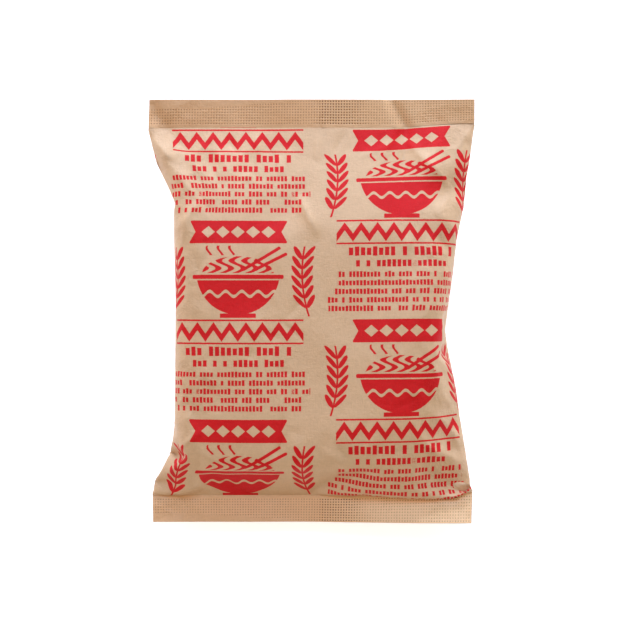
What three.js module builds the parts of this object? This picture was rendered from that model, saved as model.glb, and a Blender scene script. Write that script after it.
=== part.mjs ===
// A sealed packet of instant noodles in kraft paper, lying on its back, print side up.
// The paper is a flat tube with a crimped seal across each end. A square noodle block fills it,
// nearer the bottom seal than the top one, so the paper climbs gently from the top seal and
// steeply from the bottom one. Both seals hang free of the table, and the bottom one is twisted
// up at its right end.
// Sizes are in millimetres. X runs across the packet, Y up the print and Z up from the table.

import * as THREE from "three";

// Driving sizes
const HALF_HEIGHT = 78; // half the distance between the cut ends
const BLOCK_TOP = 24.9; // height of the paper over the noodle block
const SEAL_THICKNESS = 0.6; // two papers with the crimp's relief
const TOP_SEAL_HEIGHT = 10.4; // of the crimped strip, along Y, at its left end
const TOP_SEAL_NARROWING = 1.7; // how much narrower it is at its right end
const BOTTOM_SEAL_HEIGHT = 9.8;
const BOTTOM_SEAL_WIDENING = 1.7;
const SLANT_REACH = 18; // how far from a seal the rows share its slant
const TOP_SEAL_LEVEL = 12.2; // height of the top seal's middle above the table
const BOTTOM_SEAL_LEVEL = 8.4;
const BOTTOM_SEAL_TWIST = 5.5; // how much higher its right end is
const UPTURN = 0.09; // rise of both seals per millimetre toward their cut ends
const TOP_UPTURN_GAIN = 0.06; // how much steeper that rise is at the right end
const BOTTOM_UPTURN_GAIN = 0.14;
const FIN_LEFT = 3.2; // the long seam's flap on the back, folded flat to the right
const FIN_WIDTH = 12;
const FIN_THICKNESS = 0.35;
const FIN_STEP = 0.4; // width of the flap's edge in the mesh

// Where the paper lies on the noodle block and where it leaves it, along Y
const FRONT_PLATEAU = { low: -53, high: 26 };
const BACK_PLATEAU = { low: -55, high: 40 };

// How steeply the paper meets each seal, as a rise over a run
const FRONT_SLOPE = { bottom: 1.5, top: 0.36 };
const BACK_SLOPE = { bottom: 0.8, top: 0.5 };

// Exponents of a section's outline: how square it is at its edges and how flat on top
const SEAL_CROWN = { edge: 60, top: 1.5 };
const LENS_CROWN = { edge: 3.2, top: 1.15 };
const BLOCK_CROWN = { edge: 13, top: 3.2 };

// Waves across each seal: height, length of a radian along X, and phase
const TOP_WAVES = [
  { height: 0.6, length: 11.5, phase: 1.1 },
  { height: 0.35, length: 5.3, phase: 2 },
];
const BOTTOM_WAVES = [
  { height: 0.5, length: 14, phase: -0.6 },
  { height: 0.3, length: 6.1, phase: 0 },
];

// Valleys in the top seal; each leans to the left by its lean per millimetre toward the cut end
const TOP_VALLEYS = [
  { x: 34.5, lean: 0.55, width: 3.2, depth: 1.2 },
  { x: -55, lean: 0.6, width: 4.5, depth: 1.2 },
];

// Stretches along X over which something changes from its left value to its right one
const TOP_SLANT = { from: 24, over: 34 };
const BOTTOM_SLANT = { from: 4, over: 50 };
const TOP_UPTURN = { from: 30, over: 25 };
const BOTTOM_UPTURN = { from: 8, over: 40 };
const TWIST = { from: -8, over: 56 };

// How far waves, folds and the flap's lift take to fade, and how far the lens beside a seal
// reaches, as a multiple of the back's slope
const WAVE_REACH = 12;
const FOLD_REACH = 7;
const LIFT_REACH = 22;
const LENS_REACH = 1.6;
const CREST_ROUNDING = 0.3; // rounds the crest of a fold

// The packet's sides seen from above, as [y, x]. The left side follows the block and then
// spreads quickly to the seals. The right side is slack and is narrowest a little below the middle.
const LEFT_SIDE = [
  [-78, -58.6],
  [-70, -59.2],
  [-63, -57.6],
  [-53, -52.8],
  [-44, -50.7],
  [2, -50.3],
  [36, -50.9],
  [46, -53.6],
  [57, -58.3],
  [68, -60.2],
  [78, -59.8],
];
const RIGHT_SIDE = [
  [-78, 58.4],
  [-69, 58.9],
  [-56, 57.1],
  [-38, 54.6],
  [-20, 51.6],
  [-8, 49.5],
  [6, 50.9],
  [26, 53.6],
  [42, 56.3],
  [60, 58.8],
  [70, 60.2],
  [78, 59.8],
];

// Creases and dents in the front, as straight soft folds: middle, direction of the fold in
// degrees from X, its length and its width, and how far the paper rises (or sinks) along it
const FOLDS = [
  { x: -2, y: 35, angle: -62, length: 24, width: 5, rise: 1.3 },
  { x: -10, y: 37, angle: 35, length: 26, width: 10, rise: -1.3 },
  { x: 50, y: 45, angle: 8, length: 26, width: 8, rise: -2 },
  { x: 46, y: 52, angle: -55, length: 22, width: 5, rise: 1.2 },
  { x: 52, y: 27, angle: -75, length: 24, width: 5, rise: 0.9 },
  { x: -54, y: 55, angle: -58, length: 22, width: 5, rise: 1.1 },
  { x: -46, y: -49, angle: 40, length: 18, width: 5, rise: 1 },
  { x: 48, y: -53, angle: -22, length: 24, width: 5, rise: 1.2 },
  { x: 50, y: -42, angle: 80, length: 30, width: 7, rise: -1.2 },
];

// Sampling of the surface
const COLUMNS_LEFT_OF_FIN = 22;
const COLUMNS_RIGHT_OF_FIN = 19;
const PROFILE_STEPS = 400;
const TURN_WEIGHT = 14; // a full turn of the paper counts as this many millimetres of length
const SEAL_ROW = 3.4;
const SLOPE_ROW = 2.2;
const PLATEAU_ROW = 4.2;

const lerp = (a, b, t) => a + (b - a) * t;
const clamp01 = (t) => Math.min(1, Math.max(0, t));
const smooth = (t) => clamp01(t) ** 2 * (3 - 2 * clamp01(t));
const changed = (x, stretch) => smooth((x - stretch.from) / stretch.over);

// A cubic from a to b over t = 0 to 1 that starts and ends with the given rises per unit of t
function hermite(a, b, startRise, endRise, t) {
  return (
    a * (1 - t) ** 2 * (1 + 2 * t) +
    b * t ** 2 * (3 - 2 * t) +
    startRise * t * (1 - t) ** 2 -
    endRise * t ** 2 * (1 - t)
  );
}

// A smooth curve through [y, value] knots
function through(knots, y) {
  const last = knots.length - 1;
  let i = 0;
  while (i < last - 1 && y > knots[i + 1][0]) i++;
  const slope = (k) => {
    const a = knots[Math.max(0, k - 1)];
    const b = knots[Math.min(last, k + 1)];
    return (b[1] - a[1]) / (b[0] - a[0]);
  };
  const [y0, x0] = knots[i];
  const [y1, x1] = knots[i + 1];
  const span = y1 - y0;
  const t = clamp01((y - y0) / span);
  return hermite(x0, x1, slope(i) * span, slope(i + 1) * span, t);
}

const topSealEdge = HALF_HEIGHT - TOP_SEAL_HEIGHT;
const bottomSealEdge = -HALF_HEIGHT + BOTTOM_SEAL_HEIGHT;

// Height of one face along the middle of the packet: flat on the block, then down to each seal
function faceLevel(y, flat, plateau, slope) {
  if (y >= plateau.low && y <= plateau.high) return flat;
  const edge = y > 0 ? topSealEdge : bottomSealEdge;
  const start = y > 0 ? plateau.high : plateau.low;
  const t = clamp01((y - start) / (edge - start));
  const run = Math.abs(edge - start);
  const seal = y > 0 ? TOP_SEAL_LEVEL : BOTTOM_SEAL_LEVEL;
  const end = seal + Math.sign(flat - seal) * (SEAL_THICKNESS / 2);
  const fall = (y > 0 ? slope.top : slope.bottom) * run * Math.sign(flat - end);
  return hermite(flat, end, 0, -fall, t);
}

const frontLevel = (y) => faceLevel(y, BLOCK_TOP, FRONT_PLATEAU, FRONT_SLOPE);
const backLevel = (y) => faceLevel(y, 0, BACK_PLATEAU, BACK_SLOPE);

const inSeal = (y) => y >= topSealEdge || y <= bottomSealEdge;

// 0 at the seals and 1 where the block fills the packet
function fullness(y) {
  const run = y > 0 ? topSealEdge - BACK_PLATEAU.high : BACK_PLATEAU.low - bottomSealEdge;
  const gap = y > 0 ? topSealEdge - y : y - bottomSealEdge;
  return smooth(gap / (run * LENS_REACH));
}

// Share of the full height at X from -1 to 1: a thin slab at a seal, a pointed lens beside it,
// and a box with rounded edges over the block
function crown(X, y) {
  const outline = (end, full) => Math.max(0, 1 - Math.abs(X) ** end) ** (1 / full);
  if (inSeal(y)) return outline(SEAL_CROWN.edge, SEAL_CROWN.top);
  const edge = lerp(LENS_CROWN.edge, BLOCK_CROWN.edge, fullness(y));
  return outline(edge, lerp(LENS_CROWN.top, BLOCK_CROWN.top, fullness(y)));
}

const bell = (t) => Math.exp(-t * t);
const total = (items, value) => items.reduce((sum, item) => sum + value(item), 0);

// The top seal's waves, its two valleys and its upturned cut end
function topWave(x, y) {
  const out = y - topSealEdge;
  const waves = total(TOP_WAVES, (w) => w.height * Math.sin(x / w.length + w.phase));
  const valleys = total(TOP_VALLEYS, (v) => v.depth * bell((x - v.x + v.lean * out) / v.width));
  const upturn = UPTURN + TOP_UPTURN_GAIN * changed(x, TOP_UPTURN);
  return waves - valleys + upturn * Math.max(0, out);
}

// The same for the bottom seal, twisted up to the right
function bottomWave(x, y) {
  const out = bottomSealEdge - y;
  const waves = total(BOTTOM_WAVES, (w) => w.height * Math.sin(x / w.length + w.phase));
  const upturn = UPTURN + BOTTOM_UPTURN_GAIN * changed(x, BOTTOM_UPTURN);
  return waves + BOTTOM_SEAL_TWIST * changed(x, TWIST) + upturn * Math.max(0, out);
}

// The waves fade from the seals towards the block
function wave(x, y) {
  const towardSeal = 1 - smooth((y > 0 ? topSealEdge - y : y - bottomSealEdge) / WAVE_REACH);
  return towardSeal * (y > 0 ? topWave(x, y) : bottomWave(x, y));
}

// How much a row follows the line where its seal begins, from 0 to 1
function nearness(y) {
  const edge = y > 0 ? topSealEdge : bottomSealEdge;
  const off = Math.abs(y) - Math.abs(edge);
  return clamp01(off > 0 ? 1 - off / (HALF_HEIGHT - Math.abs(edge)) : 1 + off / SLANT_REACH);
}

// That line lies further up the packet towards the right
function rowShift(x, y) {
  if (y > 0) return TOP_SEAL_NARROWING * changed(x, TOP_SLANT) * nearness(y);
  return BOTTOM_SEAL_WIDENING * changed(x, BOTTOM_SLANT) * nearness(y);
}

// Rise of the front's folds at a point
function foldRise(x, y) {
  let rise = 0;
  for (const fold of FOLDS) {
    const a = THREE.MathUtils.degToRad(fold.angle);
    const along = (x - fold.x) * Math.cos(a) + (y - fold.y) * Math.sin(a);
    const across = -(x - fold.x) * Math.sin(a) + (y - fold.y) * Math.cos(a);
    const ridge = 1 - Math.sqrt(across ** 2 + CREST_ROUNDING) / fold.width;
    const fade = 1 - smooth(Math.abs(along) / (fold.length / 2));
    rise += fold.rise * smooth(ridge) * fade;
  }
  const off = y > 0 ? topSealEdge - y : y - bottomSealEdge;
  return rise * smooth(off / FOLD_REACH);
}

// How far the flap on the back holds the back panel off the table beside it
function flapLift(x) {
  if (x >= FIN_LEFT && x <= FIN_LEFT + FIN_WIDTH) return 0;
  const off = x < FIN_LEFT ? FIN_LEFT - x : x - FIN_LEFT - FIN_WIDTH;
  return FIN_THICKNESS * (1 - smooth((off - FIN_STEP) / LIFT_REACH));
}

function section(y) {
  const left = through(LEFT_SIDE, y);
  const right = through(RIGHT_SIDE, y);
  const sealLevel = y > 0 ? TOP_SEAL_LEVEL : BOTTOM_SEAL_LEVEL;
  const level = inSeal(y) ? sealLevel : (frontLevel(y) + backLevel(y)) / 2;
  const above = inSeal(y) ? SEAL_THICKNESS / 2 : frontLevel(y) - level;
  const below = inSeal(y) ? SEAL_THICKNESS / 2 : level - backLevel(y);
  return { y, middle: (left + right) / 2, half: (right - left) / 2, level, above, below };
}

// Places across a section between two fractions of its width, closer together where it turns
function placesBetween(s, from, to, count) {
  const measured = [0];
  let before = null;
  let heading = null;
  for (let i = 0; i <= PROFILE_STEPS; i++) {
    const X = Math.sin(lerp(Math.asin(from), Math.asin(to), i / PROFILE_STEPS));
    const point = new THREE.Vector2(X * s.half, s.above * crown(X, s.y));
    if (before) {
      const step = point.clone().sub(before);
      const turn = heading === null ? 0 : Math.abs(step.angle() - heading) % (2 * Math.PI);
      const bend = Math.min(turn, 2 * Math.PI - turn);
      measured.push(measured[i - 1] + step.length() + (bend / (2 * Math.PI)) * TURN_WEIGHT * 4);
      heading = step.angle();
    }
    before = point;
  }
  const places = [];
  let i = 0;
  for (let k = 0; k <= count; k++) {
    const goal = (measured[PROFILE_STEPS] * k) / count;
    while (i < PROFILE_STEPS - 1 && measured[i + 1] < goal) i++;
    const share = (goal - measured[i]) / (measured[i + 1] - measured[i] || 1);
    const t = (i + clamp01(share)) / PROFILE_STEPS;
    places.push(Math.sin(lerp(Math.asin(from), Math.asin(to), t)));
  }
  return places;
}

// All the columns of a section, with a close pair at each edge of the flap
function columnPlaces(s) {
  const place = (x) => (x - s.middle) / s.half;
  const root = place(FIN_LEFT);
  const edge = place(FIN_LEFT + FIN_WIDTH);
  const step = FIN_STEP / s.half;
  return [
    ...placesBetween(s, -1, root - step, COLUMNS_LEFT_OF_FIN),
    root,
    (root + edge) / 2,
    edge,
    ...placesBetween(s, edge + step, 1, COLUMNS_RIGHT_OF_FIN),
  ];
}

function frontPoint(s, X) {
  const x = s.middle + X * s.half;
  const z = s.level + s.above * crown(X, s.y) + wave(x, s.y) + foldRise(x, s.y) * crown(X, s.y);
  return [x, s.y + rowShift(x, s.y), z];
}

function backPoint(s, X) {
  const x = s.middle + X * s.half;
  const onFlap = x > FIN_LEFT - FIN_STEP / 2 && x < FIN_LEFT + FIN_WIDTH + FIN_STEP / 2;
  const flap = inSeal(s.y) && onFlap ? -FIN_THICKNESS : 0;
  const lift = inSeal(s.y) ? 0 : flapLift(x);
  const z = s.level - s.below * crown(X, s.y) + wave(x, s.y) + flap + lift;
  return [x, s.y + rowShift(x, s.y), Math.max(0, z)];
}

// Rows along Y, close together on the slopes
function rowPlaces() {
  const spans = [
    [-HALF_HEIGHT, bottomSealEdge, SEAL_ROW],
    [bottomSealEdge + 0.5, BACK_PLATEAU.low + 6, SLOPE_ROW],
    [BACK_PLATEAU.low + 8, FRONT_PLATEAU.high - 4, PLATEAU_ROW],
    [FRONT_PLATEAU.high - 1, topSealEdge - 0.5, SLOPE_ROW],
    [topSealEdge, HALF_HEIGHT, SEAL_ROW],
  ];
  return spans.flatMap(([from, to, step]) => {
    const count = Math.ceil((to - from) / step);
    return Array.from({ length: count + 1 }, (_, i) => lerp(from, to, i / count));
  });
}

// One closed skin: each section is a loop of front points from left to right and back points
// from right to left, and the cut ends are closed straight across
function packetGeometry() {
  const sections = rowPlaces().map(section);
  const columns = columnPlaces(sections[0]).length;
  const loop = 2 * columns - 2;
  const positions = sections.flatMap((s) => {
    const places = columnPlaces(s);
    const back = places.slice(1, -1).reverse();
    return [...places.map((X) => frontPoint(s, X)), ...back.map((X) => backPoint(s, X))].flat();
  });
  const at = (row, k) => row * loop + ((k + loop) % loop);
  const triangles = [];
  for (let row = 0; row < sections.length - 1; row++) {
    for (let k = 0; k < loop; k++) {
      triangles.push(at(row, k), at(row, k + 1), at(row + 1, k + 1));
      triangles.push(at(row, k), at(row + 1, k + 1), at(row + 1, k));
    }
  }
  const closeEnd = (row, outward) => {
    for (let k = 0; k < columns - 1; k++) {
      const quad = [at(row, k), at(row, k + 1), at(row, -k - 1), at(row, -k)];
      const [a, b, c, d] = outward ? quad : [...quad].reverse();
      if (a !== d) triangles.push(a, c, d);
      if (b !== c) triangles.push(a, b, c);
    }
  };
  closeEnd(0, false);
  closeEnd(sections.length - 1, true);
  const geometry = new THREE.BufferGeometry();
  geometry.setAttribute("position", new THREE.Float32BufferAttribute(positions, 3));
  geometry.setIndex(triangles);
  geometry.computeVertexNormals();
  return geometry;
}

function packet() {
  const kraftPaper = new THREE.MeshStandardMaterial({ color: 0xcba67f, roughness: 0.75, metalness: 0 });
  const mesh = new THREE.Mesh(packetGeometry(), kraftPaper);
  mesh.name = "packet";
  return mesh;
}

const noodlePacket = new THREE.Group();
noodlePacket.add(packet());

export default noodlePacket;
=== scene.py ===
"""A sealed packet of instant noodles in printed kraft paper, lying on its back.

The paper is one tube, folded by relaxation around a square block until it keeps its flat size,
so its creases fall where real paper puts them. Both ends carry a crimped seal, and the long seam
behind folds flat to the right. Lengths in the shape code are in millimetres, in the CAD frame.
"""

import math

import bpy
import numpy as np
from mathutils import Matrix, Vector


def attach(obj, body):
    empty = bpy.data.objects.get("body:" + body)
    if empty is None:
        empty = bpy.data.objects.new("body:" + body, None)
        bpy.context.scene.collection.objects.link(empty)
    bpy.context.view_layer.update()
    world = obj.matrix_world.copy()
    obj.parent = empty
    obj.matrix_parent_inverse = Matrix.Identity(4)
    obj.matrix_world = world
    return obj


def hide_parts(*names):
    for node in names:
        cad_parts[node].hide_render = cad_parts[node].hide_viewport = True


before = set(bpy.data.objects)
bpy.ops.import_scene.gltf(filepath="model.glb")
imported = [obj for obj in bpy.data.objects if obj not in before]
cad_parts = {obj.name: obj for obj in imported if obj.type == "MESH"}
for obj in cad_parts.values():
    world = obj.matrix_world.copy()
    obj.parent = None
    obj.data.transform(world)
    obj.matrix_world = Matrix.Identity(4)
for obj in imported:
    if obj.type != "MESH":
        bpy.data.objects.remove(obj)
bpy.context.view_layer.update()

MM = 0.001

# The flat paper: a tube this far around, pinned between the two seals
AROUND = 240.0
LENGTH = 144.2
HALF_FLAT = 72.4  # from the middle of the print to each seal
SEAL_FLAT = 10.3  # from there to the cut end

HALF_HEIGHT = 78.0  # half the distance between the cut ends
PAPER_GAP = 0.25  # half the thickness of a seal
BLOCK_TOP = 24.2
TOP_SEAL_EDGE = 67.6  # where the seals begin, at their left ends
BOTTOM_SEAL_EDGE = -68.2
TOP_SEAL_LEVEL = 12.2
BOTTOM_SEAL_LEVEL = 8.4
BOTTOM_SEAL_TWIST = 5.5  # how much higher the bottom seal's right end is

# The packet's sides seen from above, as (y, x)
LEFT_SIDE = [
    (-78, -58.8), (-71, -59.6), (-65, -58.4), (-62, -57.9), (-57, -54.8), (-51, -52.2), (-46, -51.2),
    (-40, -50.7), (4, -50.3), (26, -50.9), (37, -51.0), (40, -50.6), (43, -52.2), (48.4, -54.7),
    (54, -57.3), (59.4, -58.8), (65, -60.2), (70, -60.4), (78, -60.1),
]
RIGHT_SIDE = [
    (-78, 58.6), (-72, 59.2), (-66.5, 59.0), (-62.4, 58.3), (-51.3, 56.7), (-40.2, 54.8), (-29.2, 53.3),
    (-18, 51.1), (-12.5, 49.9), (-7, 49.2), (4, 50.7), (15, 52.2), (26, 53.4), (37.3, 55.9),
    (48.4, 57.0), (59.4, 58.8), (65, 59.5), (70.5, 60.3), (78, 59.9),
]


def smooth(t):
    t = np.clip(t, 0, 1)
    return t * t * (3 - 2 * t)


def bell(t):
    return np.exp(-t * t)


def along(knots, y):
    return np.interp(y, [k[0] for k in knots], [k[1] for k in knots])


def hermite(a, b, start, end, t):
    return (a * (1 - t) ** 2 * (1 + 2 * t) + b * t ** 2 * (3 - 2 * t)
            + start * t * (1 - t) ** 2 - end * t ** 2 * (1 - t))


# The back seam's flap lies flat against the back, between these places across
FLAP_LEFT = 3.2
FLAP_RIGHT = 15.2
FLAP_THICKNESS = 0.3
FLAP_CLEARANCE = 0.06

# Seals. Each is given by the line where it meets the body and by its middle surface: long and
# short waves, valleys that lean with y, a step over the flap and a cut end that turns up.
SEAL_SLANT = 1.7  # how much further up the right end of that line lies
TOP_FLAP_STEP = 0.3
BOTTOM_FLAP_STEP = 0.25
UPTURN = 0.09  # rise per millimetre toward the cut end


def top_edge(x):
    return TOP_SEAL_EDGE + SEAL_SLANT * smooth((x - 24) / 34)


def bottom_edge(x):
    return BOTTOM_SEAL_EDGE + SEAL_SLANT * smooth((x - 4) / 50)


def over_flap(x):
    """1 where a seal lies over the flap and 0 beside it"""
    return smooth((x - FLAP_LEFT) / 0.7) * smooth((FLAP_RIGHT + 1.5 - x) / 1.5)


def top_seal_height(x, y):
    waves = 0.6 * np.sin(x / 11.5 + 1.1) + 0.35 * np.sin(x / 5.3 + 2.0 + 0.08 * (y - 68))
    valleys = -1.5 * bell((x - 34.5 + 0.55 * (y - 68)) / 2.6)
    valleys += -1.5 * bell((x + 55 + 0.6 * (y - 68)) / 4.0)
    turned_up = (UPTURN + 0.06 * smooth((x - 30) / 25)) * np.maximum(0, y - TOP_SEAL_EDGE)
    return TOP_SEAL_LEVEL + waves + valleys + TOP_FLAP_STEP * over_flap(x) + turned_up


def bottom_seal_height(x, y):
    waves = 0.5 * np.sin(x / 14 - 0.6) + 0.3 * np.sin(x / 6.1 + 0.1 * (y + 68))
    turned_up = (UPTURN + 0.14 * smooth((x - 8) / 40)) * np.maximum(0, BOTTOM_SEAL_EDGE + 1 - y)
    twist = BOTTOM_SEAL_TWIST * smooth((x + 8) / 56)
    return BOTTOM_SEAL_LEVEL + waves + BOTTOM_FLAP_STEP * over_flap(x) + turned_up + twist


# The body's formula shape, from which the paper starts
START_BOTTOM_LEVEL = 8.6
FRONT_PLATEAU = (-54, 23)  # along y, where the paper lies flat on the block
BACK_PLATEAU = (-57, 36)
FRONT_SLOPE = (1.1, 0.36)  # how steeply each face meets the bottom and the top seal
BACK_SLOPE = (0.6, 0.45)


def face_level(y, flat, plateau, slope):
    """Height of one face along its middle: flat on the block, then curved to each seal"""
    side = math.copysign(1, flat - TOP_SEAL_LEVEL)
    up, down = TOP_SEAL_EDGE - plateau[1], plateau[0] - BOTTOM_SEAL_EDGE
    top, bottom = TOP_SEAL_LEVEL + side * PAPER_GAP, START_BOTTOM_LEVEL + side * PAPER_GAP
    return np.where(y > 0,
                    hermite(flat, top, 0, -side * slope[1] * up, np.clip((y - plateau[1]) / up, 0, 1)),
                    hermite(flat, bottom, 0, -side * slope[0] * down,
                            np.clip((plateau[0] - y) / down, 0, 1)))


def front_level(y):
    return face_level(y, BLOCK_TOP, FRONT_PLATEAU, FRONT_SLOPE)


def back_level(y):
    return face_level(y, 0, BACK_PLATEAU, BACK_SLOPE)


def even_steps(level, count):
    """y at even steps of the paper's length along the middle of one face"""
    y = np.linspace(BOTTOM_SEAL_EDGE, TOP_SEAL_EDGE, 1200)
    s = np.concatenate([[0], np.cumsum(np.hypot(np.diff(y), np.diff(level(y))))])
    return np.interp(np.linspace(0, 1, count), s / s[-1], y)


def start_shape(rows, columns):
    """The body as (rows, columns, 3), the columns running around it from the left crease"""
    P = np.zeros((rows, columns, 3))
    half = columns // 2
    turn = 800  # samples along each face
    theta = np.linspace(0, 2 * math.pi, 2 * turn + 1)
    upper = theta < math.pi
    y_front, y_back = even_steps(front_level, rows), even_steps(back_level, rows)
    front_share = smooth((np.sin(2 * math.pi * np.arange(columns) / columns) + 0.25) / 0.5)
    for r in range(rows):
        y = (y_front[r] + y_back[r]) / 2
        gap, run = (TOP_SEAL_EDGE - y, 28) if y > 0 else (y - BOTTOM_SEAL_EDGE, 12)
        full = float(smooth(gap / (run * 1.6)))
        X = -np.cos(theta)
        crown = np.maximum(0, 1 - np.abs(X) ** (3.2 + 9.8 * full)) ** (1 / (1.15 + 2.05 * full))
        left, right = along(LEFT_SIDE, y), along(RIGHT_SIDE, y)
        x = (left + right) / 2 + X * (right - left) / 2
        high, low = float(front_level(y_front[r])), float(back_level(y_back[r]))
        middle = (high + low) / 2
        z = middle + np.where(upper, high - middle, low - middle) * crown
        bottom_line = bottom_seal_height(x, BOTTOM_SEAL_EDGE)
        if y < 0:
            z += (bottom_line - START_BOTTOM_LEVEL) * (1 - smooth((y - BOTTOM_SEAL_EDGE) / 13))
        if r in (0, rows - 1):
            seal = bottom_line if r == 0 else top_seal_height(x, TOP_SEAL_EDGE)
            z = seal + np.where(upper, PAPER_GAP, -PAPER_GAP) * (np.abs(X) < 0.9999)
        s = np.concatenate([[0], np.cumsum(np.hypot(np.diff(x), np.diff(z)))])
        goal = np.concatenate([np.linspace(0, s[turn], half, endpoint=False),
                               np.linspace(s[turn], s[-1], columns - half, endpoint=False)])
        P[r, :, 0] = np.interp(goal, s, x)
        P[r, :, 1] = y_front[r] * front_share + y_back[r] * (1 - front_share)
        P[r, :, 2] = np.interp(goal, s, z)
    P[0, :, 1] = bottom_edge(P[0, :, 0])
    P[-1, :, 1] = top_edge(P[-1, :, 0])
    return P


# The noodle block inside, a box with rounded corners and edges. Its right side is narrower toward
# both ends, so the paper is slacker there.
BLOCK_LOW = np.array([-50.2, -59.5, 0.1])
BLOCK_HIGH = np.array([49.1, 34.5, 24.1])
BLOCK_CORNER = 15.0
BLOCK_EDGE = 6.0
BLOCK_TAPER = 0.16
BLOCK_WIDEST = -8.0  # where along y it is widest


def push_off_block(P, bumps):
    """Moves the points that are inside the block, swollen by the bumps, out to its surface"""
    x, y, z = P[..., 0], P[..., 1], P[..., 2]
    right = BLOCK_HIGH[0] - BLOCK_TAPER * np.abs(y - BLOCK_WIDEST)
    dx, hx = x - (right + BLOCK_LOW[0]) / 2, (right - BLOCK_LOW[0]) / 2
    centre, half = (BLOCK_HIGH + BLOCK_LOW) / 2, (BLOCK_HIGH - BLOCK_LOW) / 2
    dy, dz = y - centre[1], z - centre[2]
    qx, qy = np.abs(dx) - hx + BLOCK_CORNER, np.abs(dy) - half[1] + BLOCK_CORNER
    ox, oy = np.maximum(qx, 0), np.maximum(qy, 0)
    reach = np.sqrt(ox * ox + oy * oy)
    round_corner = reach > 0
    plan = np.where(round_corner, reach, np.minimum(np.maximum(qx, qy), 0)) - BLOCK_CORNER + BLOCK_EDGE
    reach = np.where(round_corner, reach, 1)
    nx = np.where(round_corner, ox / reach, qx > qy) * np.sign(dx)
    ny = np.where(round_corner, oy / reach, qx <= qy) * np.sign(dy)
    rise = np.abs(dz) - half[2] + BLOCK_EDGE
    op, oz = np.maximum(plan, 0), np.maximum(rise, 0)
    reach = np.sqrt(op * op + oz * oz)
    round_edge = reach > 0
    gap = np.where(round_edge, reach, np.minimum(np.maximum(plan, rise), 0)) - BLOCK_EDGE - bumps
    reach = np.where(round_edge, reach, 1)
    sideways = np.where(round_edge, op / reach, plan > rise)
    upward = np.where(round_edge, oz / reach, plan <= rise) * np.sign(dz)
    push = np.where(gap < 0, -gap, 0)
    P += push[..., None] * np.stack([sideways * nx, sideways * ny, upward], -1)


def link(A, B, wa, wb, rest, strength):
    """Draws the ends of the links A-B to their rest length, in place"""
    d = B - A
    length = np.sqrt(np.einsum("...i,...i", d, d)) + 1e-9
    c = (strength * (length - rest) / (length * (wa + wb)))[..., None] * d
    A += c * wa[..., None]
    B -= c * wb[..., None]


FACES_APART = 0.12


def relax(P, steps, pressure, stiffness, bumps, momentum, hold):
    """Lets the paper recover its flat size around the block, its end rows pinned to the seals

    Each step blows the paper up a little, draws the links along, around and across the grid to
    their flat length, straightens bends, and then pushes the paper off the block, its side
    creases toward the measured outline, its faces apart and all of it off the ground.
    """
    rows, columns, _ = P.shape
    half = columns // 2
    step_v, step_u = LENGTH / (rows - 1), AROUND / columns
    diagonal = np.hypot(step_u, step_v)
    weight = np.ones((rows, 1))
    weight[0] = weight[-1] = 0
    inner = slice(1, -1)
    last = P.copy()
    behind = AROUND / 2 - (step_u * np.arange(columns) - AROUND / 4)
    on_flap = smooth((behind - FLAP_LEFT + 2) / 1.5) * smooth((FLAP_RIGHT + 2 - behind) / 1.5)
    ground = (FLAP_THICKNESS + FLAP_CLEARANCE) * on_flap
    for step in range(steps):
        moved = (P - last) * momentum
        last = P.copy()
        across = np.roll(P, -1, 1) - np.roll(P, 1, 1)
        up = P[2:] - P[:-2]
        normal = np.cross(across[inner], up)
        normal /= np.sqrt(np.einsum("...i,...i", normal, normal))[..., None] + 1e-9
        P[inner] += moved[inner] + pressure * normal
        order = (0, 1) if step % 2 else (1, 0)
        for parity in order:
            B = P[parity + 1::2]
            A = P[parity:-1:2][:len(B)]
            link(A, B, weight[parity:-1:2][:len(B)], weight[parity + 1::2], step_v, 1.0)
        for parity in order:
            Q = np.roll(P, -parity, 1)
            ones = np.ones((1, 1))
            link(Q[inner, 0::2], Q[inner, 1::2], ones, ones, step_u, 1.0)
            P[:] = np.roll(Q, parity, 1)
        for lean in (1, -1):
            for parity in order:
                R = np.roll(P, -lean, 1)
                B = R[parity + 1::2]
                A = P[parity:-1:2][:len(B)]
                link(A, B, weight[parity:-1:2][:len(B)], weight[parity + 1::2], diagonal, 0.8)
                P[parity + 1::2] = np.roll(B, lean, 1)
        bend = ((np.roll(P, -1, 1) + np.roll(P, 1, 1))[inner] / 2 - P[inner]) * stiffness
        P[inner] += bend * (2 / 3) - (np.roll(bend, 1, 1) + np.roll(bend, -1, 1)) / 3
        bend = ((P[2:] + P[:-2]) / 2 - P[inner]) * stiffness
        P[inner] += bend * (2 / 3)
        P[1:-2] -= bend[1:] / 3
        P[2:-1] -= bend[:-1] / 3
        push_off_block(P[inner], bumps[inner])
        for column, side in ((0, LEFT_SIDE), (half, RIGHT_SIDE)):
            P[inner, column, 0] += hold * (along(side, P[inner, column, 1]) - P[inner, column, 0])
        front, back = P[inner, 1:half, 2], P[inner, :half:-1, 2]
        overlap = np.maximum(0, FACES_APART - (front - back)) / 2
        front += overlap
        back -= overlap
        np.maximum(P[inner, :, 2], ground, out=P[inner, :, 2])


def refine(P):
    """Twice the rows and columns, the new points on cubics through the old ones"""
    ahead, behind, far = np.roll(P, -1, 1), np.roll(P, 1, 1), np.roll(P, -2, 1)
    Q = np.empty((P.shape[0], 2 * P.shape[1], 3))
    Q[:, 0::2], Q[:, 1::2] = P, (9 * (P + ahead) - behind - far) / 16
    R = np.empty((2 * P.shape[0] - 1, Q.shape[1], 3))
    R[0::2] = Q
    R[1::2] = (Q[:-1] + Q[1:]) / 2
    R[3:-3:2] = (9 * (Q[1:-2] + Q[2:-1]) - Q[:-3] - Q[3:]) / 16
    return R


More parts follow.
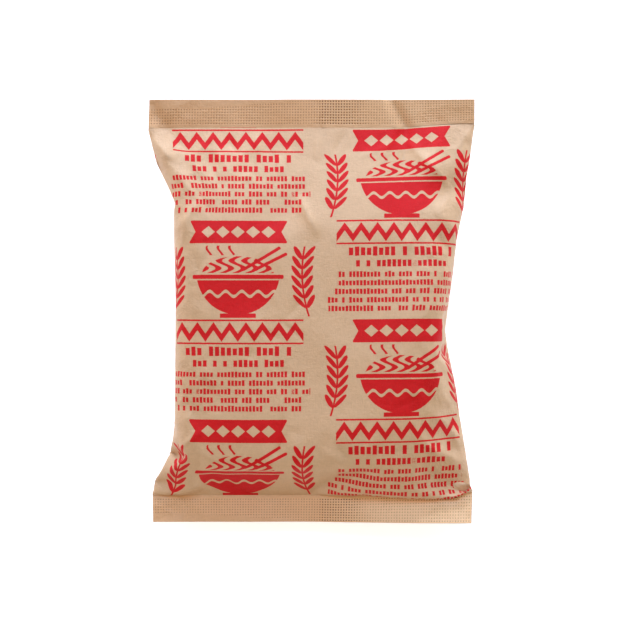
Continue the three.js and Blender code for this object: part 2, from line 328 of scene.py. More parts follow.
def cloud(rows, columns, cells, seed):
    """Smooth random heights over the tube, about one bump in each cell"""
    rng = np.random.default_rng(seed)
    high, wide = cells
    grid = rng.standard_normal((high + 2, wide))
    t = np.linspace(0, high, rows)
    i = np.minimum(t.astype(int), high)
    f = smooth(t - i)[:, None]
    lines = grid[i] * (1 - f) + grid[i + 1] * f
    s = np.arange(columns) * wide / columns
    j = s.astype(int)
    e = smooth(s - j)
    return lines[:, j] * (1 - e) + lines[:, (j + 1) % wide] * e


# Steps, pressure and stiffness at each level of the grid, from coarse to fine
LEVELS = [(500, 1.0e-4, 0.05), (500, 2.0e-5, 0.05), (350, 4.0e-6, 0.035)]
FIRST_GRID = (46, 76)
SETTLING_STEPS = 60
OUTLINE_HOLD = 0.3


def fold_paper():
    """The paper tube around the block, as (rows, columns, 3)"""
    P = start_shape(*FIRST_GRID)
    levels = LEVELS
    for n, (steps, pressure, stiffness) in enumerate(levels):
        if n:
            P = refine(P)
        rows, columns, _ = P.shape
        bumps = 0.14 * cloud(rows, columns, (24, 40), 5) + 0.1 * cloud(rows, columns, (50, 82), 6)
        relax(P, steps, pressure, stiffness, bumps, 0.9, OUTLINE_HOLD)
        relax(P, SETTLING_STEPS, pressure * 0.3, stiffness, bumps, 0.5, OUTLINE_HOLD)
    return P


# The camera looks straight down
CAMERA_HEIGHT = 912.0
CAMERA_DISTANCE = 900.0  # from the top seal
CAMERA_X = 2.95
CAMERA_Y = -3.3


def seen(P):
    """Where points show from the camera, in mm at the height of the top seal"""
    scale = CAMERA_DISTANCE / (CAMERA_HEIGHT - P[..., 2])
    return CAMERA_X + (P[..., 0] - CAMERA_X) * scale, CAMERA_Y + (P[..., 1] - CAMERA_Y) * scale


def between_seals(x, y, fade):
    """1 on the body and 0 at its seals, fading over some millimetres"""
    return smooth((y - bottom_edge(x)) / fade) * smooth((top_edge(x) - y) / fade)


OUTLINE_PASSES = 4
OUTLINE_STEP = 1.5
LARGEST_SHIFT = 3.0


def fit_outline(P):
    """Eases the sides in or out until their outline, seen from above, is the measured one"""
    levels = np.arange(-64.0, 63.0, OUTLINE_STEP)
    for _ in range(OUTLINE_PASSES):
        x, y = seen(P)
        shift = {}
        for side, knots, pick in ((-1, LEFT_SIDE, np.min), (1, RIGHT_SIDE, np.max)):
            errors, places = [], []
            for level in levels:
                band = np.abs(y - level) < 0.6 * OUTLINE_STEP
                if band.any():
                    errors.append(along(knots, level) - pick(x[band]))
                    places.append(level)
            errors = np.convolve(np.pad(errors, 1, "edge"), [0.2, 0.6, 0.2], "valid")
            shift[side] = np.interp(y, places, np.clip(errors, -LARGEST_SHIFT, LARGEST_SHIFT))
        ends = between_seals(P[..., 0], P[..., 1], 4)
        for side in (-1, 1):
            share = smooth((side * P[..., 0] - 26) / 18) * ends
            P[..., 0] += shift[side] * share
    return P


# Dents and creases of the front face as (x, y, angle, half length, half width, height), in mm and
# degrees. A crease is a sharp fold with a rounded end, a dent a smooth hollow or swelling.
DENTS = [
    (51, 45, 8, 9, 5.5, -2.4), (49, 35, 0, 8, 5, 0.9), (-10, 36.5, 35, 11, 7, -1.5),
    (-59.5, 54, -66, 10, 4.5, -2.2), (-48.5, -51, 20, 5, 4, -1.4), (50, -43, 80, 10, 5, -1.3),
    (-6, -58, 0, 55, 8, -1.0),
    (34, 47, 90, 14, 7, -0.9), (-30, 52, 75, 12, 8, 0.9), (22, -30, 60, 14, 9, -0.7),
    (-22, 4, 20, 12, 8, -0.6), (6, -12, -50, 14, 7, 0.6), (-34, -30, 70, 12, 7, -0.6),
]
CREASES = [
    (-1.5, 35, -62, 8.5, 2.0, 1.7), (48.5, -52.5, -22, 9, 2.2, 1.3), (46.5, 51, -55, 8, 2.0, 1.3),
    (-55.4, 59.2, -48, 7.5, 3.0, 2.4), (51, -35.3, 14, 4.5, 1.8, -1.5), (53, -47, -68, 5, 0.8, 0.9),
    (46.5, -51, 40, 4, 1.2, 0.8), (48, -40.5, -35, 4.5, 1.4, 0.9), (-54.5, 54, -58, 8, 1.8, 1.0),
    (53, 26, -75, 9, 1.8, 1.1), (-46, -48, 40, 7, 1.8, 1.2),
    (40, 57, -50, 10, 1.8, 1.0), (47, 8, 75, 14, 2.2, 0.8), (46, -24, -72, 13, 2.0, 1.0),
    (-47, 30, 80, 10, 1.8, 0.8), (-48, -20, 96, 14, 1.8, 0.7), (28, 61, 72, 7, 1.5, 0.8),
    (-20, 61, 100, 7, 1.5, 0.8), (-41, 60, 62, 8, 1.5, 0.9), (2, 60, 86, 6, 1.4, 0.6),
    (-14, -58, 80, 5, 1.4, 0.7), (26, -60, 100, 5, 1.4, 0.8), (38, -58, 64, 6, 1.5, 0.8),
    (50.5, -34, -58, 5, 1.1, 0.8), (51.5, -41, 70, 6, 1.1, -0.8), (53.5, -45.5, -35, 4, 1.0, 0.8),
    (49, -28, 35, 4, 1.0, -0.6), (52, -50, 82, 5, 1.0, 0.7), (47, -17, -66, 6, 1.1, 0.6),
    (48.5, 15, -70, 6, 1.1, 0.7), (51, 21, 64, 5, 1.0, -0.6), (54, 38, -72, 5, 1.1, 0.8),
    (-47.5, 47, -56, 7, 1.3, 0.9), (-53, 46, -70, 6, 1.2, -0.8), (-50, -56, 52, 6, 1.2, 0.9),
    (-44, -60, 74, 5, 1.2, -0.8), (-38, 62, 80, 5, 1.1, 0.7), (-30, 63.5, 96, 4, 1.0, -0.6),
]


def fold_frame(x, y, spec):
    """Places along and across a fold line, as shares of its half length and half width"""
    x0, y0, angle, half_length, half_width, _ = spec
    c, s = math.cos(math.radians(angle)), math.sin(math.radians(angle))
    run, across = (x - x0) * c + (y - y0) * s, (y - y0) * c - (x - x0) * s
    return run / half_length, across / half_width


def crease(x, y, spec):
    """A fold line's height: sharp across, fading along"""
    run, across = fold_frame(x, y, spec)
    return spec[-1] * np.exp(-np.abs(across)) * smooth(1.2 - np.abs(run))


def dent(x, y, spec):
    """A smooth hollow's or swelling's height"""
    run, across = fold_frame(x, y, spec)
    return spec[-1] * bell(run) * bell(across)


def crinkles(seed, count):
    """Short fine creases strewn over the paper, mostly by its sides and its seals"""
    rng = np.random.default_rng(seed)
    found = []
    while len(found) < count:
        x, y = rng.uniform(-58, 58), rng.uniform(-66, 66)
        slack = max(smooth((abs(x) - 30) / 20), smooth((abs(y) - 42) / 20))
        if rng.uniform() < 0.12 + 0.88 * slack:
            toward = math.degrees(math.atan2(y, x)) if abs(y) > 40 else 90
            angle = toward + rng.normal() * 40
            length, width = rng.uniform(2.5, 8), rng.uniform(0.8, 1.7)
            found.append((x, y, angle, length, width, rng.choice((-1, 1)) * rng.uniform(0.2, 0.6)))
    return found


TAUT_FROM = 30.0  # along y
TAUT_PASSES = 1500
TAUTNESS = 0.85


def tauten(P):
    """Draws the front straight between the noodle block and the top seal"""
    half = P.shape[1] // 2
    first = int(np.abs(P[:, half // 2, 1] - TAUT_FROM).argmin())
    z = P[first:, 1:half, 2]
    taut = z.copy()
    for _ in range(TAUT_PASSES):
        taut[1:-1] = np.maximum(taut[1:-1], (taut[2:] + taut[:-2]) / 2)
    P[first:, 1:half, 2] += TAUTNESS * (taut - z)
    return P


FRONT_CRINKLES = 190
BACK_CRINKLES = 110


def crumple(P):
    """Raises the front face's dents and creases and strews both faces with crinkles"""
    x, y = P[..., 0].copy(), P[..., 1].copy()
    columns = P.shape[1]
    side = np.sin(2 * math.pi * np.arange(columns) / columns)
    body = between_seals(x, y, 5)
    front = smooth(side / 0.05) * body
    back = smooth(-side / 0.05) * body
    for spec in CREASES:
        P[..., 2] += front * crease(x, y, spec)
    for spec in DENTS:
        P[..., 2] += front * dent(x, y, spec)
    for spec in crinkles(11, FRONT_CRINKLES):
        P[..., 2] += front * crease(x, y, spec)
    for spec in crinkles(12, BACK_CRINKLES):
        P[..., 2] -= back * crease(x, y, spec) * smooth(P[..., 2] / 1.5)
    return P


# Meshes

PRINTED = None  # the paper's material, made below


def grid_object(name, points, uv, closed_around=False):
    """A smooth grid of quads. points is (rows, columns, 3) in mm; uv is (rows, columns [+1], 2)."""
    rows, columns, _ = points.shape
    mesh = bpy.data.meshes.new(name)
    wide = columns if closed_around else columns - 1
    r, c = np.meshgrid(np.arange(rows - 1), np.arange(wide), indexing="ij")
    n = (c + 1) % columns
    faces = np.stack([r * columns + c, r * columns + n, (r + 1) * columns + n, (r + 1) * columns + c], -1)
    faces = faces.reshape(-1, 4)
    mesh.vertices.add(rows * columns)
    mesh.vertices.foreach_set("co", (points.reshape(-1, 3) * MM).ravel())
    mesh.loops.add(faces.size)
    mesh.loops.foreach_set("vertex_index", faces.ravel())
    mesh.polygons.add(len(faces))
    mesh.polygons.foreach_set("loop_start", np.arange(0, faces.size, 4))
    mesh.polygons.foreach_set("loop_total", np.full(len(faces), 4))
    layer = mesh.uv_layers.new(name="Paper")
    corners = np.stack([uv[r, c], uv[r, c + 1], uv[r + 1, c + 1], uv[r + 1, c]], 2).reshape(-1, 2)
    layer.data.foreach_set("uv", corners.ravel())
    mesh.update(calc_edges=True)
    mesh.validate()
    mesh.polygons.foreach_set("use_smooth", np.ones(len(faces), bool))
    mesh.materials.append(PRINTED)
    piece = bpy.data.objects.new(name, mesh)
    bpy.context.scene.collection.objects.link(piece)
    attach(piece, "root")
    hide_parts("packet")
    return piece


def uv_grid(us, vs):
    """UV of the flat paper in centimetres, us across and vs up"""
    return np.stack(np.meshgrid(us, vs), -1) / 10


def crimp(u, v):
    """Depth of the crimping dies' square dots, 1 mm apart, from 0 to 1"""
    return ((0.5 + 0.5 * np.cos(2 * math.pi * u)) * (0.5 + 0.5 * np.cos(2 * math.pi * v))) ** 1.5


# Shader arithmetic: a Field is a number at each point of a surface, made of math nodes


class Field:
    tree = None

    def __init__(self, socket):
        self.socket = socket

    def __add__(self, other):
        return field("ADD", self, other)

    def __radd__(self, other):
        return field("ADD", other, self)

    def __sub__(self, other):
        return field("SUBTRACT", self, other)

    def __rsub__(self, other):
        return field("SUBTRACT", other, self)

    def __mul__(self, other):
        return field("MULTIPLY", self, other)

    def __rmul__(self, other):
        return field("MULTIPLY", other, self)

    def __truediv__(self, other):
        return field("DIVIDE", self, other)

    def __neg__(self):
        return field("MULTIPLY", self, -1)


def field(operation, *inputs):
    node = Field.tree.nodes.new("ShaderNodeMath")
    node.operation = operation
    for socket, value in zip(node.inputs, inputs):
        if isinstance(value, Field):
            Field.tree.links.new(value.socket, socket)
        else:
            socket.default_value = value
    return Field(node.outputs[0])


def lowest(a, *others):
    for b in others:
        a = field("MINIMUM", a, b)
    return a


def highest(a, *others):
    for b in others:
        a = field("MAXIMUM", a, b)
    return a


def size(a):
    return field("ABSOLUTE", a)


def sine(a):
    return field("SINE", a)


def cosine(a):
    """A cosine raised to run from 0 to 1"""
    return field("COSINE", a) * 0.5 + 0.5


def root(a):
    return field("SQRT", a)


def floor(a):
    return field("FLOOR", a)


def wrap(a, span):
    """a repeated every span, from -span/2 to span/2"""
    return field("FLOORED_MODULO", a + span / 2, span) - span / 2


def distance(x, y):
    return root(x * x + y * y)


def mix(a, b, share):
    return field("MULTIPLY_ADD", b - a, share, a)


def ramp(value, low, high):
    node = Field.tree.nodes.new("ShaderNodeMapRange")
    node.interpolation_type = "SMOOTHSTEP"
    Field.tree.links.new(value.socket, node.inputs["Value"])
    node.inputs["From Min"].default_value = low
    node.inputs["From Max"].default_value = high
    return Field(node.outputs["Result"])


def vector(x, y, z=0.0):
    node = Field.tree.nodes.new("ShaderNodeCombineXYZ")
    for socket, value in zip(node.inputs, (x, y, z)):
        if isinstance(value, Field):
            Field.tree.links.new(value.socket, socket)
        else:
            socket.default_value = value
    return node.outputs[0]


def noise(place, scale, detail=2.0, roughness=0.5, distortion=0.0):
    node = Field.tree.nodes.new("ShaderNodeTexNoise")
    Field.tree.links.new(place, node.inputs["Vector"])
    node.inputs["Scale"].default_value = scale
    node.inputs["Detail"].default_value = detail
    node.inputs["Roughness"].default_value = roughness
    node.inputs["Distortion"].default_value = distortion
    return Field(node.outputs["Fac"])


def dice(place):
    node = Field.tree.nodes.new("ShaderNodeTexWhiteNoise")
    node.noise_dimensions = "3D"
    Field.tree.links.new(place, node.inputs["Vector"])
    return Field(node.outputs["Value"])


# Shapes of the print, each as a distance from its edge in mm, negative inside


def disc(x, y, radius):
    return distance(x, y) - radius


def box(x, y, half_width, half_height, corner=0.0):
    qx, qy = size(x) - (half_width - corner), size(y) - (half_height - corner)
    return distance(highest(qx, 0.0), highest(qy, 0.0)) + lowest(highest(qx, qy), 0.0) - corner


def bar(x, y, a, b, half_width):
    """A straight stroke from a to b with round ends"""
    dx, dy = b[0] - a[0], b[1] - a[1]
    px, py = x - a[0], y - a[1]
    t = (px * dx + py * dy) / (dx * dx + dy * dy)
    t = highest(lowest(t, 1.0), 0.0)
    return distance(px - t * dx, py - t * dy) - half_width


def cut(shape, hole):
    return highest(shape, -hole)


def noodle_bowl(x, y):
    """A bowl of noodles with chopsticks and steam between two ears of wheat"""
    bowl = highest(disc(x, y - 2.2, 13.0), y + 0.2)
    bowl = cut(bowl, size(y + 4.4 - sine(x * 1.25) * 0.8) - 0.48)
    foot = box(x, y + 11.2, 5.6, 0.8, 0.3)
    rim = box(x, y - 0.85, 14.2, 0.65, 0.5)
    heap = highest(disc(x * 0.5, y - 1.6, 5.6), 2.0 - y)
    strands = size(sine(x * 0.8 + sine(y * 1.35) * 1.5)) * 0.95 - 0.68
    heap = highest(heap, strands)
    sticks = lowest(bar(x, y, (2.0, 3.2), (12.8, 9.7), 0.5), bar(x, y, (4.8, 2.8), (14.8, 7.8), 0.5))
    plume = size(wrap(x + 5.4 - sine(y * 1.1) * 0.8, 3.6)) - 0.42
    steam = highest(plume, box(x + 5.4, y - 9.0, 4.6, 1.5, 0.5))
    side = size(x) - 19.9 - (y - 2.0) * (y - 2.0) * 0.012
    stem = highest(size(side) - 0.3, size(y + 0.6) - 10.8)
    lean = y - size(side) * 1.05 - 0.4
    grain = distance((size(side) - 1.75) * 0.62, wrap(lean, 3.0) * 0.9) - 1.02
    ear = lowest(stem, highest(grain, size(lean + 1.5) - 9.0))
    return lowest(bowl, foot, rim, heap, sticks, steam, ear)


def ribbon(x, y):
    """A plaque with notched ends and a row of lozenges knocked out"""
    plaque = box(x, y, 18.0, 4.2, 0.4)
    notch = size(y) * 0.55 + 16.0 - size(x)
    plaque = cut(plaque, notch)
    lozenge = size(wrap(x, 5.6)) * 0.85 + size(y) - 2.15
    return cut(plaque, highest(lozenge, size(x) - 14.0))


def border(x, y):
    """A bold zigzag between two thin lines"""
    zigzag = size(y - size(wrap(x, 6.0)) * 1.4 + 2.1) * 0.58 - 0.88
    zigzag = highest(zigzag, size(x) - 24.0)
    line = box(x, size(y) - 4.2, 24.0, 0.32, 0.1)
    return lowest(zigzag, line)


def words(x, y, half_height, half_length, letter, key):
    """A line of short blocks of uneven height with word gaps, as on a plan of a page"""
    cell = floor(x / letter)
    chance = dice(vector(cell, key, 3.7))
    tall = dice(vector(cell, key, 9.1))
    inside = size(wrap(x - letter / 2, letter)) - letter * 0.36
    height = size(y + (1 - tall) * 0.12 * half_height) - half_height * (tall * 0.3 + 0.7)
    block = highest(inside, height)
    block = highest(block, (0.17 - chance) * 20)
    return highest(block, size(x) - half_length)


CELL_WIDTH = AROUND / 4
CELL_HEIGHT = HALF_FLAT / 2
CELL_START = -57.0  # the left side of a column of cells
BOWL_SCALE = 1.18
LINE_PITCH = 3.1
LINES = 5


def print_pattern(u, v):
    """Distance from the nearest printed shape on the flat paper, in mm

    The paper is a checkerboard of cells, with a picture and a block of small lines by turns.
    """
    column = floor((u - CELL_START) / CELL_WIDTH)
    row = floor((v + HALF_FLAT) / CELL_HEIGHT)
    x = u - CELL_START - CELL_WIDTH / 2 - column * CELL_WIDTH
    y = v + HALF_FLAT - CELL_HEIGHT / 2 - row * CELL_HEIGHT
    odd = field("FLOORED_MODULO", column + row, 2)
    bowl = noodle_bowl(x / BOWL_SCALE, (y + 4.2) / BOWL_SCALE) * BOWL_SCALE
    picture = lowest(ribbon(x, y - 13.2), bowl)
    small = y + 8.6
    half_block = LINE_PITCH * LINES / 2
    line = floor((small + half_block) / LINE_PITCH)
    length = 23 + dice(vector(line, column, 5.5)) * 5
    in_line = wrap(small + half_block - LINE_PITCH / 2, LINE_PITCH)
    small_lines = words(x, in_line, 1.1, length, 1.3, line + column * 7)
    small_lines = highest(small_lines, size(small) - half_block)
    title = words(x, y - 6.0, 1.8, 19.8, 2.2, column * 3 + 1.5)
    subtitle = words(x, y - 1.6, 1.4, 17.1, 1.9, column * 5 + 2.5)
    text = lowest(border(x, y - 13.0), title, subtitle, small_lines)
    return mix(picture, text, odd)


# The paper's and the ink's colours, with painted shade in the crimp dots and a painted highlight on the
# seals. All but the first are shares of the colour under them.
KRAFT = (0.60, 0.375, 0.215)
SEALED = (1.02, 0.92, 0.83)
PRESSED_AND_SHADED_DOTS = (0.95, 1.08, 1.3)  # how much darker the dies' dots are: partly the pressed paper's tone, partly painted shade in their pits
PAINTED_SHEEN = (0.20, 0.38, 0.56)  # painted highlight: how much paler the bottom seal is on the right, and the top seal less so
INK = (0.97, 0.004, 0.02)


def kraft_tone(u, v, clouds, mottle, fibres):
    """Brightness of the bare paper, with a few darker flecks and paler specks"""
    fleck = ramp(noise(vector(u * 0.7, v * 2.2, 4.0), 1.9, 2.0, 0.5, 1.5), 0.70, 0.76)
    speck = noise(vector(u, v, 9.0), 5.5, 1.0, 0.6)
    pale = ramp(noise(vector(u * 1.9, v * 0.8, 7.0), 1.6, 2.0, 0.5, 1.0), 0.68, 0.76)
    tone = 1 + (clouds - 0.5) * 0.10 + (mottle - 0.5) * 0.16 + (fibres - 1.0) * 0.2
    return tone + (speck - 0.5) * 0.16 - fleck * 0.16 + pale * 0.06


def crimp_marks(u, v, place, in_seal):
    """Where the dies pressed the seals, and how dark each dot is, partly the pressed paper and partly
    painted shade in the pits: darkest over the seam
    """
    dots = cosine(u * 2 * math.pi) * cosine(v * 2 * math.pi)
    over_seam = ramp(u, 2.6, 3.4) * (1 - ramp(u, 12.5, 21.0))
    bite = ramp(noise(place, 0.12, 2.0, 0.6), 0.3, 0.7) * 0.18 + over_seam * 0.42 + 0.32
    inner = HALF_FLAT + 0.9
    outer = mix(HALF_FLAT + 7.2, HALF_FLAT + 10.2, ramp(u, -52.0, 6.0))
    pressed = in_seal * ramp(size(v), inner, inner + 0.3) * ramp(outer - size(v), 0.0, 0.3)
    return pressed, ramp(dots, 0.2, 0.85) * pressed * bite


def ink_cover(u, v, place, in_seal):
    """Share of ink on the paper: rough edges, thin spots, none on the seals"""
    rough = (noise(place, 1.7, 3.0, 0.7) - 0.5) * 0.34
    ink = ramp(print_pattern(u, v) + rough, 0.09, -0.09)
    thin = ramp(noise(place, 3.1, 2.0, 0.7), 0.64, 0.76) * 0.16
    return ink * (1 - in_seal) * (1 - thin)


def facet_relief(u, v, clouds, mottle):
    """Flat facets of crumpled paper, strongest by the sides"""
    facets = Field.tree.nodes.new("ShaderNodeTexVoronoi")
    facets.feature = "SMOOTH_F1"
    facets.inputs["Scale"].default_value = 0.15
    facets.inputs["Smoothness"].default_value = 0.08
    Field.tree.links.new(vector(u + clouds * 8, v + mottle * 3), facets.inputs["Vector"])
    slack = ramp(size(u), 30.0, 52.0) * 0.8 + 0.2
    return Field(facets.outputs["Distance"]) * slack * 6.0


def paper_material():
    """Kraft paper with the print, in mm on the flat paper"""
    material = bpy.data.materials.new("printed kraft paper")
    material.use_nodes = True
    tree = material.node_tree
    tree.nodes.clear()
    Field.tree = tree
    output = tree.nodes.new("ShaderNodeOutputMaterial")
    shader = tree.nodes.new("ShaderNodeBsdfPrincipled")
    tree.links.new(shader.outputs[0], output.inputs["Surface"])
    paper = tree.nodes.new("ShaderNodeUVMap")
    paper.uv_map = "Paper"
    split = tree.nodes.new("ShaderNodeSeparateXYZ")
    tree.links.new(paper.outputs[0], split.inputs[0])
    u, v = Field(split.outputs[0]) * 10, Field(split.outputs[1]) * 10
    place = vector(u, v)

    # Soft clouds, a finer mottle and fibres both ways
    clouds = noise(place, 0.16, 3.0, 0.6)
    mottle = noise(place, 0.9, 3.0, 0.65)
    fibres = noise(vector(u * 0.22, v * 1.6), 1.5, 3.0, 0.7, 0.6)
    fibres = fibres + noise(vector(u * 1.6, v * 0.22), 1.5, 3.0, 0.7, 0.6)

    in_seal = ramp(size(v), HALF_FLAT - 0.2, HALF_FLAT + 0.4)
    at_bottom = ramp(-v, 0.0, 1.0)
    # The crimp dots are darkened, partly painted shade in their pits
    pressed, dot_shade_and_tone = crimp_marks(u, v, place, in_seal)
    # Painted highlight: the seals turn paler toward their right ends, most on the bottom seal, for the
    # light they catch there
    painted_sheen_share = in_seal * mix(0.4, 1.0, at_bottom) * ramp(u, -2.0, 34.0) * (1 - ramp(u, 59.0, 61.0))
    ink = ink_cover(u, v, place, in_seal)
    tone = kraft_tone(u, v, clouds, mottle, fibres) * (1 + pressed * 0.07)
    # Painted light: the bottom seal is made a tenth brighter, for light that reaches it
    tone = tone * (in_seal * at_bottom * 0.1 + 1)
    colour = tree.nodes.new("ShaderNodeCombineColor")
    for n, socket in enumerate(colour.inputs):
        value = tone * KRAFT[n] * mix(1.0, SEALED[n], in_seal) * (painted_sheen_share * PAINTED_SHEEN[n] + 1)
        value = value * (1 - dot_shade_and_tone * PRESSED_AND_SHADED_DOTS[n]) * mix(1.0, INK[n], ink)
        tree.links.new(value.socket, socket)
    tree.links.new(colour.outputs[0], shader.inputs["Base Color"])

    roughness = 0.5 + (mottle - 0.5) * 0.2 + ink * 0.1
    tree.links.new(roughness.socket, shader.inputs["Roughness"])
    gloss = 0.45 - ink * 0.2
    tree.links.new(gloss.socket, shader.inputs["Specular IOR Level"])

    relief = fibres * 0.6 + mottle * 0.35 + noise(place, 4.5, 2.0, 0.7) * 0.25
    relief = relief + noise(place, 0.45, 3.0, 0.55) * 1.2 + facet_relief(u, v, clouds, mottle)
    bump = tree.nodes.new("ShaderNodeBump")
    bump.inputs["Distance"].default_value = 0.00016
    bump.inputs["Strength"].default_value = 0.7
    tree.links.new(relief.socket, bump.inputs["Height"])
    tree.links.new(bump.outputs[0], shader.inputs["Normal"])
    return material


def make_body(P):
    """The paper tube between the seals"""
    rows, columns, _ = P.shape
    us = -AROUND / 4 + np.arange(columns + 1) * AROUND / columns
    vs = np.linspace(-HALF_FLAT, HALF_FLAT, rows)
    return grid_object("wrapper", P, uv_grid(us, vs), closed_around=True)


def crimp_reach(u, t):
    """The dies stop short of the cut end on the left"""
    return smooth((0.98 - 0.3 * smooth((12 - u) / 60) - t) / 0.03)


DOTS_WIDE = 120
DOTS_HIGH = 10
DOT_STEPS = 4  # mesh steps to each dot of the crimp
DOT_DEPTH = 0.2
SEAM_DOT_DEPTH = 0.1  # how much deeper they are over the seam's extra layers


def make_seal(name, edge, height, cut_y, sign):
    """A crimped seal as a thin slab, its two faces dented together by the dies"""
    columns, rows = DOT_STEPS * DOTS_WIDE + 1, DOT_STEPS * DOTS_HIGH + 2
    t = np.linspace(0, 1, rows)[:, None]
    share = np.linspace(0, 1, columns)[None, :]
    left, right = along(LEFT_SIDE, cut_y), along(RIGHT_SIDE, cut_y)
    inner = sign * (TOP_SEAL_EDGE - BOTTOM_SEAL_EDGE) / 2
    left_edge, right_edge = along(LEFT_SIDE, inner), along(RIGHT_SIDE, inner)
    x_edge = left_edge + (right_edge - left_edge) * share
    x = x_edge + (left + (right - left) * share - x_edge) * smooth(t)
    y = edge(x_edge) + (cut_y - edge(x_edge)) * t
    u = AROUND * (share / 2 - 1 / 4) + 0 * t
    v = sign * (HALF_FLAT + SEAL_FLAT * t) + 0 * u
    z = height(x, y)
    strength = smooth((t - 0.1) / 0.03) * crimp_reach(u, t) * (1 - smooth((np.abs(u) - 59.2) / 0.8))
    uneven = 0.65 + 0.35 * np.sin(u / 7.0 + 1.3) * np.sin(u / 3.1)
    seam = smooth(u - 2.5) * (1 - smooth(u - 20))
    depth = (DOT_DEPTH * uneven + SEAM_DOT_DEPTH * seam) * strength
    pressed = depth * crimp(u, v)
    # Slab: front from left to right, back from right to left
    front = np.stack([x, y, z + PAPER_GAP - pressed], -1)
    back = np.stack([x, y, z - PAPER_GAP - pressed], -1)
    loop = np.concatenate([front, back[:, ::-1]], 1)
    us = np.concatenate([u, (AROUND / 2 - u)[:, ::-1]], 1)
    us = np.concatenate([us, us[:, :1] + AROUND], 1)
    vs = np.concatenate([v, v[:, ::-1], v[:, :1]], 1)
    if sign < 0:
        loop = loop[::-1]
        us, vs = us[::-1], vs[::-1]
    # Close the cut end with one more row that meets in the middle of the slab
    end = loop[-1:] if sign > 0 else loop[:1]
    middle = end.copy()
    middle[..., 2] = ((end + end[:, ::-1]) / 2)[..., 2]
    if sign > 0:
        loop = np.concatenate([loop, middle])
        us, vs = np.concatenate([us, us[-1:]]), np.concatenate([vs, vs[-1:]])
    else:
        loop = np.concatenate([middle, loop])
        us, vs = np.concatenate([us[:1], us]), np.concatenate([vs[:1], vs])
    return grid_object(name, loop, np.stack([us, vs], -1) / 10, closed_around=True)


FLAP_COLUMNS = 17
FLAP_SEAL_ROWS = 31
FLAP_OFF_BACK = 0.03
FLAP_PAPER = 0.25


def make_flap(P):
    """The long seam's flap, folded flat against the back and crimped into both seals"""
    rows, columns, _ = P.shape
    across = np.linspace(FLAP_LEFT, FLAP_RIGHT, FLAP_COLUMNS)
    place = (AROUND * 3 / 4 - across) * columns / AROUND
    i = place.astype(int)
    f = (place - i)[None, :, None]
    sheet = P[:, i] * (1 - f) + P[:, i + 1] * f
    along_v, along_u = np.gradient(sheet, axis=0), np.gradient(sheet, axis=1)
    outward = np.cross(along_u, along_v)
    outward *= np.sign(-outward[..., 2:]) / np.linalg.norm(outward, axis=-1, keepdims=True)
    outward[0] = outward[-1] = (0, 0, -1)
    seal_share = np.linspace(0, 1, FLAP_SEAL_ROWS + 1)[1:]
    parts = []
    for edge, height, cut_y, sign in ((bottom_edge, bottom_seal_height, -HALF_HEIGHT, -1),
                                      (top_edge, top_seal_height, HALF_HEIGHT, 1)):
        t = seal_share[:, None]
        x = across[None, :] + 0 * t
        y = edge(x) + (cut_y - sign * 0.1 - edge(x)) * t
        back = np.stack([x, y, height(x, y) - PAPER_GAP - 0.12], -1)
        parts.append(back[::-1] if sign < 0 else back)
    low, high = parts
    sheet = np.concatenate([low, sheet, high])
    down = np.zeros_like(low)
    down[..., 2] = -1
    outward = np.concatenate([down, outward, down])
    near = sheet + FLAP_OFF_BACK * outward
    far = sheet + (FLAP_OFF_BACK + FLAP_PAPER) * outward
    loop = np.concatenate([near, far[:, ::-1]], 1)
    hidden, shown = across + AROUND / 2, across[::-1] + AROUND / 2 + 30
    us = np.concatenate([hidden, shown, hidden[:1]])
    seal_vs = HALF_FLAT + SEAL_FLAT * seal_share
    vs = np.concatenate([-seal_vs[::-1], np.linspace(-HALF_FLAT, HALF_FLAT, rows), seal_vs])
    return grid_object("back_seam", loop, uv_grid(us, vs), closed_around=True)


PRINTED = paper_material()
body = fit_outline(crumple(tauten(fold_paper())))
make_body(body)
make_flap(body)
make_seal("top_seal", top_edge, top_seal_height, HALF_HEIGHT, 1)
make_seal("bottom_seal", bottom_edge, bottom_seal_height, -HALF_HEIGHT, -1)


# Studio


def floor_material():
    material = bpy.data.materials.new("white floor")
    material.use_nodes = True
    shader = material.node_tree.nodes["Principled BSDF"]
    shader.inputs["Base Color"].default_value = (0.93, 0.94, 0.95, 1)
    shader.inputs["Roughness"].default_value = 0.9
    shader.inputs["Emission Color"].default_value = (0.88, 0.94, 1, 1)
    shader.inputs["Emission Strength"].default_value = 0.6
    return material


FLOOR_LEVEL = -0.00005
FLOOR_RADIUS = 2.9
FLOOR_BEND = 0.4
WALL_HEIGHT = 0.95


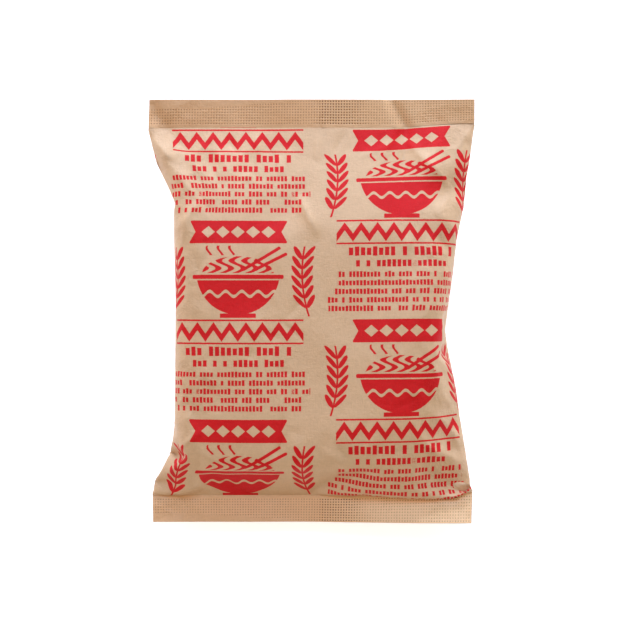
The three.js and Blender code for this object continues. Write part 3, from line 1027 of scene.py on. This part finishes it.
def studio_floor():
    """A round floor that bends up into a low wall, in metres"""
    bend = np.linspace(0, math.pi / 2, 12)
    radius = np.append(FLOOR_RADIUS - FLOOR_BEND * (1 - np.sin(bend)), FLOOR_RADIUS)
    level = np.append(FLOOR_BEND * (1 - np.cos(bend)), WALL_HEIGHT) + FLOOR_LEVEL
    turns = 96
    turn = np.arange(turns) * 2 * math.pi / turns
    vertices = [(r * math.cos(a), r * math.sin(a), z) for r, z in zip(radius, level) for a in turn]
    faces = [tuple(range(turns))]
    for ring in range(len(radius) - 1):
        for n in range(turns):
            a, b = ring * turns + n, ring * turns + (n + 1) % turns
            faces.append((a, a + turns, b + turns, b))
    mesh = bpy.data.meshes.new("floor")
    mesh.from_pydata(vertices, [], faces)
    mesh.polygons.foreach_set("use_smooth", [len(face) == 4 for face in faces])
    mesh.materials.append(floor_material())
    thing = bpy.data.objects.new("floor", mesh)
    bpy.context.scene.collection.objects.link(thing)


studio_floor()


def area_light(name, elevation, away, width, height, power, colour, bearing=90):
    """A soft panel aimed at the packet; angles in degrees, bearing 90 is toward the top seal"""
    light = bpy.data.lights.new(name, "AREA")
    light.shape = "RECTANGLE"
    light.size, light.size_y = width, height
    light.energy = power
    light.color = colour
    a, e = math.radians(bearing), math.radians(elevation)
    place = away * Vector((math.cos(e) * math.cos(a), math.cos(e) * math.sin(a), math.sin(e)))
    thing = bpy.data.objects.new(name, light)
    thing.location = place
    thing.rotation_euler = (Vector((0, 0, 0.01)) - place).to_track_quat("-Z", "Y").to_euler()
    bpy.context.scene.collection.objects.link(thing)


area_light("top", 88, 1.5, 1.0, 1.0, 6.9, (1.0, 0.78, 0.61))
area_light("key", 60, 1.0, 0.5, 0.4, 5.5, (0.37, 0.64, 1.0))
area_light("low key", 15, 0.9, 0.8, 0.2, 8.0, (0.68, 0.79, 1.0))
area_light("right", 15, 0.9, 0.6, 0.25, 1.4, (0.68, 0.78, 1.0), 0)
area_light("left", 15, 0.9, 0.6, 0.25, 1.0, (1.0, 0.78, 0.95), 180)

world = bpy.data.worlds.new("studio")
world.use_nodes = True
world.node_tree.nodes["Background"].inputs["Color"].default_value = (1.0, 0.77, 0.25, 1)
world.node_tree.nodes["Background"].inputs["Strength"].default_value = 0.22
bpy.context.scene.world = world

FRAME_SPAN = 236.3  # mm that the frame's 640 pixels see at the height of the top seal
SENSOR = 36.0
camera_data = bpy.data.cameras.new("camera")
camera_data.sensor_width = SENSOR
camera_data.lens = SENSOR * CAMERA_DISTANCE / FRAME_SPAN
camera = bpy.data.objects.new("camera", camera_data)
camera.location = (CAMERA_X * MM, CAMERA_Y * MM, CAMERA_HEIGHT * MM)
camera.rotation_euler = (0, 0, 0)
bpy.context.scene.collection.objects.link(camera)
bpy.context.scene.camera = camera
bpy.context.scene.view_settings.view_transform = "Standard"
